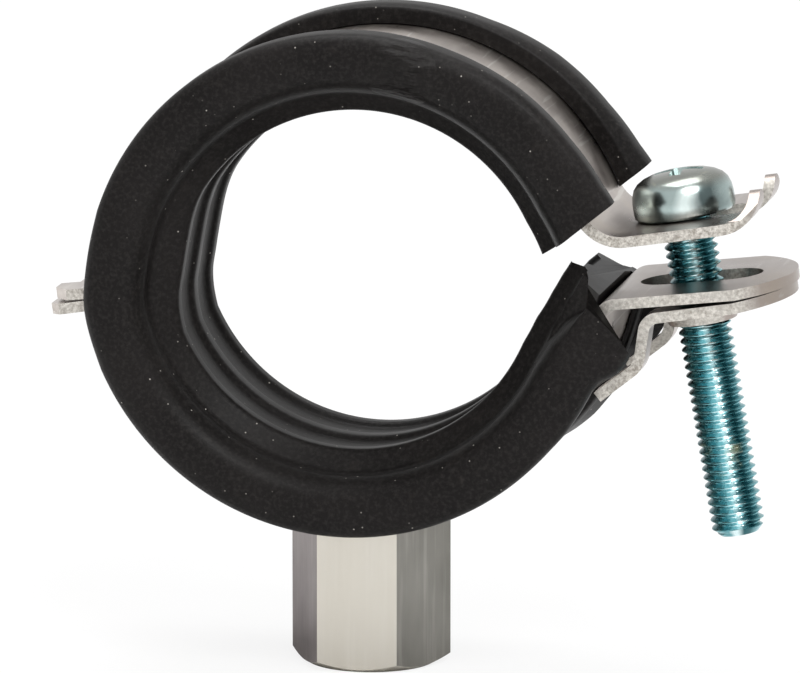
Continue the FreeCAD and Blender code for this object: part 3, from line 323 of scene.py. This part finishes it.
def make_thread():
    """Threaded shank from the seat down to the tip."""
    rows = int(SHANK_LENGTH / THREAD_PITCH * ROWS_PER_PITCH)
    neck = THREAD_RADIUS - THREAD_DEPTH * NECK_SHARE
    verts = []
    for i in range(rows + 1):
        z = -SHANK_LENGTH * i / rows
        risen = ease(-z, 0.0, THREAD_RUN_OUT)
        tip = THREAD_RADIUS - TIP_TAPER + min(TIP_TAPER, z + SHANK_LENGTH)
        for k in range(THREAD_AROUND):
            angle = 2 * math.pi * k / THREAD_AROUND
            r = THREAD_RADIUS - THREAD_DEPTH * thread_form(z / THREAD_PITCH + k / THREAD_AROUND)
            r = neck * (1 - risen) + min(r, tip) * risen
            verts.append((r * math.cos(angle), r * math.sin(angle), z))
    faces = side_faces(rows + 1, THREAD_AROUND)
    faces.append(tuple(range(THREAD_AROUND)))
    faces.append(tuple(reversed(range(rows * THREAD_AROUND, (rows + 1) * THREAD_AROUND))))
    return new_object("screw_thread", verts, faces)


# Turned outline of the pan head, radius and height, from its underside up to near the crown.
HEAD_RINGS = [(2.2, 0.0), (4.15, 0.0), (4.45, 0.06), (4.65, 0.28), (4.7, 0.6), (4.69, 1.6),
              (4.6, 2.25), (4.38, 2.85), (4.0, 3.3), (3.4, 3.67), (2.6, 3.94), (1.6, 4.12),
              (0.7, 4.19)]
HEAD_HEIGHT = 4.2
HEAD_AROUND = 72

# Cross recess from its floor up to above the crown: half the width of an arm, its reach, height.
RECESS_LEVELS = [(0.4, 1.1, 2.0), (0.55, 2.3, 4.0), (0.58, 2.55, 4.8)]


def make_recess_cutter():
    verts = []
    for arm, reach, z in RECESS_LEVELS:
        for quarter in range(4):
            turn = math.pi / 2 * quarter
            for x, y in ((arm, -arm), (reach, -arm), (reach, arm)):
                verts.append((x * math.cos(turn) - y * math.sin(turn),
                              x * math.sin(turn) + y * math.cos(turn), z))
    ring = len(verts) // len(RECESS_LEVELS)
    faces = [tuple(reversed(range(ring))), tuple(range(len(verts) - ring, len(verts)))]
    faces += side_faces(len(RECESS_LEVELS), ring)
    return new_object("recess_cutter", verts, faces, shade_smooth=False)


def make_head():
    """Pan head as a turned shape, with the cross recess cut in."""
    verts = [(0, 0, 0)]
    for r, z in HEAD_RINGS:
        verts += circle(r, z, HEAD_AROUND)
    verts.append((0, 0, HEAD_HEIGHT))
    crown = len(verts) - 1
    top_ring = crown - HEAD_AROUND
    faces = [tuple(v + 1 for v in face) for face in side_faces(len(HEAD_RINGS), HEAD_AROUND)]
    for k in range(HEAD_AROUND):
        nxt = (k + 1) % HEAD_AROUND
        faces.append((0, 1 + nxt, 1 + k))
        faces.append((top_ring + k, top_ring + nxt, crown))
    head = new_object("screw_head", verts, faces)
    cutter = make_recess_cutter()
    cut = head.modifiers.new("recess", "BOOLEAN")
    cut.operation = "DIFFERENCE"
    cut.solver = "EXACT"
    cut.object = cutter
    apply_modifiers(head)
    bpy.data.objects.remove(cutter)
    return head


def apply_modifiers(obj):
    evaluated = obj.evaluated_get(bpy.context.evaluated_depsgraph_get())
    baked = bpy.data.meshes.new_from_object(evaluated)
    obj.modifiers.clear()
    obj.data = baked


def edge_normals(obj, angle):
    """Smooth shading, with edges sharper than the angle kept."""
    mesh = obj.data
    for polygon in mesh.polygons:
        polygon.use_smooth = True
    mesh.set_sharp_from_angle(angle=math.radians(angle))


def material(name):
    made = bpy.data.materials.new(name)
    made.use_nodes = True
    made.node_tree.nodes.clear()
    tree = Tree(made)
    output = tree.add("ShaderNodeOutputMaterial")
    shader = tree.add("ShaderNodeBsdfPrincipled")
    tree.link(shader.outputs[0], output.inputs[0])
    return made, shader, tree


class Tree:
    """Short calls for building a node tree. Noise scales are per metre."""

    def __init__(self, owner):
        self.tree = owner.node_tree
        self.coords = self.add("ShaderNodeTexCoord")

    def add(self, kind, **values):
        node = self.tree.nodes.new(kind)
        for key, value in values.items():
            setattr(node, key, value)
        return node

    def link(self, a, b):
        self.tree.links.new(a, b)

    def put(self, socket, value):
        if isinstance(value, bpy.types.NodeSocket):
            self.link(value, socket)
        else:
            socket.default_value = value

    def noise(self, scale, detail=3.0, rough=0.5, stretch=(1, 1, 1)):
        mapping = self.add("ShaderNodeMapping")
        self.link(self.coords.outputs["Object"], mapping.inputs[0])
        mapping.inputs["Scale"].default_value = stretch
        node = self.add("ShaderNodeTexNoise")
        self.link(mapping.outputs[0], node.inputs["Vector"])
        node.inputs["Scale"].default_value = scale
        node.inputs["Detail"].default_value = detail
        node.inputs["Roughness"].default_value = rough
        return node.outputs["Fac"]

    def ramp(self, fac, lo, hi, a=0.0, b=1.0):
        """Value that goes from a to b while fac goes from lo to hi."""
        node = self.add("ShaderNodeMapRange")
        self.put(node.inputs["Value"], fac)
        node.inputs["From Min"].default_value = lo
        node.inputs["From Max"].default_value = hi
        node.inputs["To Min"].default_value = a
        node.inputs["To Max"].default_value = b
        return node.outputs["Result"]

    def math(self, operation, a, b=0.0):
        node = self.add("ShaderNodeMath", operation=operation)
        self.put(node.inputs[0], a)
        self.put(node.inputs[1], b)
        return node.outputs[0]

    def blend(self, a, share_a, b, share_b):
        """Weighted sum of two values."""
        return self.math("ADD", self.math("MULTIPLY", a, share_a),
                         self.math("MULTIPLY", b, share_b))

    def mix(self, fac, a, b):
        node = self.add("ShaderNodeMix", data_type="RGBA")
        self.put(node.inputs["Factor"], fac)
        self.put(node.inputs["A"], a)
        self.put(node.inputs["B"], b)
        return node.outputs["Result"]

    def mix_shader(self, fac, a, b):
        node = self.add("ShaderNodeMixShader")
        self.link(fac, node.inputs[0])
        self.link(a, node.inputs[1])
        self.link(b, node.inputs[2])
        return node.outputs[0]

    def bump(self, height, strength, distance, normal=None):
        node = self.add("ShaderNodeBump")
        self.put(node.inputs["Height"], height)
        node.inputs["Strength"].default_value = strength
        node.inputs["Distance"].default_value = distance
        if normal is not None:
            self.link(normal, node.inputs["Normal"])
        return node.outputs["Normal"]

    def near(self, point, inner, outer):
        """1 within the inner distance of a point of the object, 0 beyond the outer one, in mm."""
        node = self.add("ShaderNodeVectorMath", operation="DISTANCE")
        self.link(self.coords.outputs["Object"], node.inputs[0])
        node.inputs[1].default_value = Vector(point) * MM
        return self.ramp(node.outputs["Value"], inner * MM, outer * MM, 1.0, 0.0)

    def separate(self, vector):
        node = self.add("ShaderNodeSeparateXYZ")
        self.link(vector, node.inputs[0])
        return node.outputs


RUBBER_DEEP = (0.0035, 0.0029, 0.0027, 1)
RUBBER_BLACK = (0.0085, 0.0072, 0.0068, 1)
RUBBER_GRAIN = (0.02, 0.018, 0.017, 1)
RUBBER_GRIME = (0.024, 0.0205, 0.0185, 1)
RUBBER_DUST = (0.5, 0.47, 0.43, 1)
CREASE_PLACE = (5.2, -11.5, 57)  # on the front bead, near the top of the upper half


def rubber_material():
    """Matt black rubber with faint grime, pale specks of dust and a creased spot on the bead."""
    made, shader, t = material("lining_rubber")
    broad = t.noise(90, 3)
    fine = t.noise(2600, 4, 0.6)
    grime = t.noise(420, 5, 0.65)
    tone = t.mix(t.ramp(broad, 0.3, 0.7), RUBBER_DEEP, RUBBER_BLACK)
    tone = t.mix(t.ramp(fine, 0.45, 0.7, 0, 0.7), tone, RUBBER_GRAIN)
    tone = t.mix(t.ramp(grime, 0.6, 0.8, 0, 0.6), tone, RUBBER_GRIME)
    specks = t.add("ShaderNodeTexVoronoi", feature="F1")
    specks.inputs["Scale"].default_value = 1100
    t.link(t.coords.outputs["Object"], specks.inputs["Vector"])
    chosen = t.ramp(t.separate(specks.outputs["Color"])[0], 0.5, 0.95, 0, 0.8)
    dust = t.math("MULTIPLY", t.ramp(specks.outputs["Distance"], 0.1, 0.04), chosen)
    tone = t.mix(dust, tone, RUBBER_DUST)
    t.link(tone, shader.inputs["Base Color"])
    t.link(t.ramp(broad, 0.3, 0.75, 0.4, 0.52), shader.inputs["Roughness"])
    shader.inputs["Specular IOR Level"].default_value = 0.12
    grain = t.bump(t.blend(fine, 0.35, grime, 0.65), 0.35, 0.00012)
    creases = t.math("MULTIPLY", t.noise(1300, 2, 0.5, (0.3, 1, 1)), t.near(CREASE_PLACE, 1.2, 3.4))
    t.link(t.bump(creases, 0.9, 0.0009, grain), shader.inputs["Normal"])
    return made


STRIP_DARK = (0.36, 0.315, 0.29, 1)
STRIP_LIGHT = (0.5, 0.455, 0.42, 1)
STRIP_STREAK = (0.62, 0.58, 0.53, 1)
STRIP_GOLD = (0.55, 0.46, 0.31, 1)
STRIP_SCRATCH = (0.72, 0.7, 0.66, 1)
# Painted dark reflection of the head and rubber on the flange towards the screw.
STRIP_FLANGE_REFLECTION = (0.19, 0.155, 0.14, 1)
FLANGE_REFLECTION_FROM = (0.022, 0.026)  # in metres: between these places towards the screw the strip darkens into a painted dark reflection of the head and rubber
SHEAR_DARK = (0.26, 0.235, 0.205, 1)
SHEAR_LIGHT = (0.66, 0.63, 0.58, 1)
SHEAR_WORN = (0.56, 0.545, 0.51, 1)


def strip_material():
    """Zinc-plated strip: pinkish-grey faces, pale sheared edges where it faces along the pipe, and
    a painted dark reflection on the flange towards the screw.
    """
    made, shader, t = material("zinc_strip")
    normal = t.separate(t.coords.outputs["Normal"])
    edge = t.ramp(t.math("ABSOLUTE", normal[1]), 0.6, 0.75)
    broad = t.noise(150, 4, 0.55)
    streak = t.noise(500, 4, 0.6, (1, 0.12, 1))
    scratch = t.noise(1500, 2, 0.5, (1, 0.05, 1))
    tone = t.mix(t.ramp(broad, 0.35, 0.65), STRIP_DARK, STRIP_LIGHT)
    tone = t.mix(t.ramp(streak, 0.5, 0.7, 0, 0.5), tone, STRIP_STREAK)
    tone = t.mix(t.ramp(t.noise(95, 2), 0.55, 0.7, 0, 0.3), tone, STRIP_GOLD)
    tone = t.mix(t.ramp(scratch, 0.64, 0.7, 0, 0.5), tone, STRIP_SCRATCH)
    place = t.separate(t.coords.outputs["Object"])
    # Painted dark reflection on the flange towards the screw.
    tone = t.mix(t.ramp(place[0], *FLANGE_REFLECTION_FROM, 0, 0.6), tone, STRIP_FLANGE_REFLECTION)
    shear = t.noise(3200, 4, 0.7, (1, 0.3, 1))
    cut = t.mix(t.ramp(shear, 0.36, 0.64), SHEAR_DARK, SHEAR_LIGHT)
    cut = t.mix(t.ramp(broad, 0.35, 0.65, 0, 0.5), cut, SHEAR_WORN)
    t.link(t.mix(edge, tone, cut), shader.inputs["Base Color"])
    shader.inputs["Metallic"].default_value = 1.0
    rough = t.ramp(broad, 0.3, 0.7, 0.26, 0.38)
    rough = t.mix(edge, rough, t.ramp(scratch, 0.3, 0.7, 0.45, 0.6))
    t.link(rough, shader.inputs["Roughness"])
    t.link(t.bump(t.blend(scratch, 0.5, streak, 0.5), 0.25, 0.00005), shader.inputs["Normal"])
    return made


# Painted light and shade: lit and shaded copies of one zinc tone for the nut's sides.
NUT_SHADED_LEFT = (0.125, 0.1, 0.1, 1)
NUT_LIT_FRONT = (0.55, 0.52, 0.46, 1)
NUT_SHADED_RIGHT = (0.15, 0.145, 0.13, 1)
NUT_CLOUD = (0.7, 0.68, 0.63, 1)
NUT_LINE = (0.74, 0.72, 0.67, 1)


def nut_material():
    """Zinc-plated hexagon bar with drawn lines. Each side takes its tone from the way it faces:
    painted light on the front side, painted shade on the left and right sides.
    """
    made, shader, t = material("zinc_nut")
    normal = t.separate(t.coords.outputs["Normal"])
    broad = t.noise(170, 3, 0.5, (1, 1, 0.5))
    lines = t.noise(900, 4, 0.6, (1, 1, 0.05))
    # Painted shade on the left and right sides and painted light on the front side, by the way each
    # side faces.
    tone = t.mix(t.ramp(normal[0], -0.75, -0.2), NUT_SHADED_LEFT, NUT_LIT_FRONT)
    tone = t.mix(t.ramp(normal[0], 0.2, 0.75), tone, NUT_SHADED_RIGHT)
    tone = t.mix(t.ramp(broad, 0.35, 0.65, 0, 0.14), tone, NUT_CLOUD)
    tone = t.mix(t.ramp(lines, 0.5, 0.75, 0, 0.2), tone, NUT_LINE)
    t.link(tone, shader.inputs["Base Color"])
    shader.inputs["Metallic"].default_value = 1.0
    t.link(t.ramp(lines, 0.3, 0.7, 0.3, 0.42), shader.inputs["Roughness"])
    t.link(t.bump(lines, 0.25, 0.00004), shader.inputs["Normal"])
    return made


# Painted reflections: shade, half light and highlight tones of the upright bands on the shank and
# on the head.
SHANK_BAND_SHADING = ((0.03, 0.115, 0.13, 1), (0.16, 0.39, 0.43, 1), (0.78, 0.96, 0.98, 1))
HEAD_BAND_SHADING = ((0.09, 0.12, 0.12, 1), (0.36, 0.44, 0.43, 1), (0.72, 0.82, 0.8, 1))
# Painted shading for the head's upward-facing top.
HEAD_CROWN_SHADING = (0.21, 0.22, 0.2, 1)
# Pale yellowish patches, laid at random places by noise.
PALE_YELLOW_PATCH = (0.62, 0.58, 0.42, 1)


def screw_material(name, tones, crown=None):
    """Blue zinc with painted reflections in upright bands of shade, half light and highlight, set
    by the way each surface faces, and pale yellowish patches in places.
    """
    dark, middle, bright = tones
    made, shader, t = material(name)
    normal = t.separate(t.coords.outputs["Normal"])
    broad = t.noise(260, 4, 0.55)
    fine = t.noise(1800, 3, 0.6)
    # The bands go by the level part of the normal, so that the thread's flanks do not break them.
    level = t.math("SQRT", t.math("SUBTRACT", 1.04, t.math("MULTIPLY", normal[2], normal[2])))
    facing = t.math("DIVIDE", normal[0], level)
    turn = t.math("ADD", facing, t.math("MULTIPLY", t.math("SUBTRACT", broad, 0.5), 0.35))
    # Painted reflection bands, set by the way each surface faces.
    tone = t.mix(t.ramp(turn, -0.85, -0.5), dark, middle)
    tone = t.mix(t.ramp(turn, -0.1, 0.12), tone, bright)
    tone = t.mix(t.ramp(turn, 0.25, 0.5), tone, dark)
    tone = t.mix(t.ramp(turn, 0.7, 0.95), tone, middle)
    # Upward faces take the crown's painted shading in place of the bands.
    if crown:
        tone = t.mix(t.ramp(normal[2], 0.45, 0.85), tone, crown)
    tone = t.mix(t.ramp(t.noise(330, 3, 0.6), 0.6, 0.75, 0, 0.6), tone, PALE_YELLOW_PATCH)
    t.link(tone, shader.inputs["Base Color"])
    shader.inputs["Metallic"].default_value = 1.0
    t.link(t.ramp(broad, 0.3, 0.7, 0.18, 0.3), shader.inputs["Roughness"])
    t.link(t.bump(fine, 0.2, 0.00004), shader.inputs["Normal"])
    return made


FLOOR_GREY = (0.93, 0.93, 0.93, 1)
FLOOR_GLOW = 0.85
WHITE = (1, 1, 1, 1)


def floor_material():
    """White ground that still takes a faint shadow: mostly glow as seen, plain grey otherwise."""
    made, shader, t = material("floor")
    shader.inputs["Base Color"].default_value = FLOOR_GREY
    shader.inputs["Roughness"].default_value = 0.9
    glow = t.add("ShaderNodeEmission")
    glow.inputs["Color"].default_value = WHITE
    path = t.add("ShaderNodeLightPath")
    share = t.math("MULTIPLY", path.outputs["Is Camera Ray"], FLOOR_GLOW)
    surface = t.mix_shader(share, shader.outputs[0], glow.outputs[0])
    output = next(n for n in t.tree.nodes if n.type == "OUTPUT_MATERIAL")
    t.link(surface, output.inputs[0])
    return made


ROOM_SHADE = (0.35, 0.9)  # grey of the room's dark and light side
ROOM_SPREAD = (-1.0, 0.6)
ROOM_STRENGTH = 0.75


def light_room():
    """Room that shades from dark at -X to light at +X, and looks white itself and in gloss."""
    world = bpy.data.worlds.new("studio")
    bpy.context.scene.world = world
    world.use_nodes = True
    world.node_tree.nodes.clear()
    t = Tree(world)
    along = t.separate(t.coords.outputs["Generated"])[0]
    room = t.add("ShaderNodeBackground")
    t.link(t.ramp(along, *ROOM_SPREAD, *ROOM_SHADE), room.inputs["Color"])
    room.inputs["Strength"].default_value = ROOM_STRENGTH
    white = t.add("ShaderNodeBackground")
    white.inputs["Color"].default_value = WHITE
    path = t.add("ShaderNodeLightPath").outputs
    looks_white = t.math("MAXIMUM", path["Is Camera Ray"], path["Is Glossy Ray"])
    looks_white = t.math("MAXIMUM", looks_white, path["Is Transmission Ray"])
    out = t.add("ShaderNodeOutputWorld")
    t.link(t.mix_shader(looks_white, room.outputs[0], white.outputs[0]), out.inputs[0])


def soft_lamp(name, place, aim, width, height, watts):
    lamp = bpy.data.lights.new(name, "AREA")
    lamp.shape = "RECTANGLE"
    lamp.size = width
    lamp.size_y = height
    lamp.energy = watts
    made = bpy.data.objects.new(name, lamp)
    made.location = place
    made.rotation_euler = (Vector(aim) - Vector(place)).to_track_quat("-Z", "Y").to_euler()
    bpy.context.scene.collection.objects.link(made)


LENS = 390.24
SENSOR = 36
CAMERA_PLACE = (0.16363, -0.77025, 0.17922)
AZIMUTH = math.radians(11.8)
ELEVATION = math.radians(10.7)


def set_camera():
    camera = bpy.data.cameras.new("camera")
    camera.lens = LENS
    camera.sensor_width = SENSOR
    camera.clip_start = 0.05
    camera.clip_end = 20
    eye = bpy.data.objects.new("camera", camera)
    back = Vector((math.sin(AZIMUTH) * math.cos(ELEVATION),
                   -math.cos(AZIMUTH) * math.cos(ELEVATION), math.sin(ELEVATION)))
    eye.location = CAMERA_PLACE
    eye.rotation_mode = "QUATERNION"
    eye.rotation_quaternion = (-back).to_track_quat("-Z", "Y")
    bpy.context.scene.collection.objects.link(eye)
    bpy.context.scene.camera = eye


def dress(obj, finish):
    obj.data.materials.clear()
    obj.data.materials.append(finish)


lining = make_lining()
edge_normals(lining, 40)
dress(lining, rubber_material())
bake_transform(lining)
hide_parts("lower_lining", "upper_lining")

screw_frame = Matrix.Translation(SEAT * MM) @ Matrix.Rotation(-SCREW_TILT, 4, "Y")
thread = make_thread()
head = make_head()
for piece, finish in ((thread, screw_material("blue_zinc", SHANK_BAND_SHADING)),
                      (head, screw_material("blue_zinc_head", HEAD_BAND_SHADING, HEAD_CROWN_SHADING))):
    piece.data.transform(screw_frame)
    edge_normals(piece, 30)
    dress(piece, finish)
    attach(piece, "screw")
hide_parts("clamp_screw")

strip = strip_material()
for name in ("lower_band", "upper_band", "nut_plate"):
    dress(bpy.data.objects[name], strip)
dress(bpy.data.objects["connecting_nut"], nut_material())

FLOOR_REACH = 1500
FLOOR_DROP = 0.00002  # in metres: the floor lies this much under the nut's mouth
floor = new_object("floor", [(-FLOOR_REACH, -FLOOR_REACH, 0), (FLOOR_REACH, -FLOOR_REACH, 0),
                             (FLOOR_REACH, FLOOR_REACH, 0), (-FLOOR_REACH, FLOOR_REACH, 0)],
                   [(0, 1, 2, 3)])
floor.location.z = -FLOOR_DROP
dress(floor, floor_material())

light_room()
soft_lamp("key", (0.35, -0.55, 0.75), (0, 0, 0.035), width=0.5, height=0.4, watts=6.0)
soft_lamp("top", (-0.1, 0.15, 0.9), (0, 0, 0.04), width=0.6, height=0.5, watts=5.0)
set_camera()
bpy.context.scene.view_settings.view_transform = "Standard"
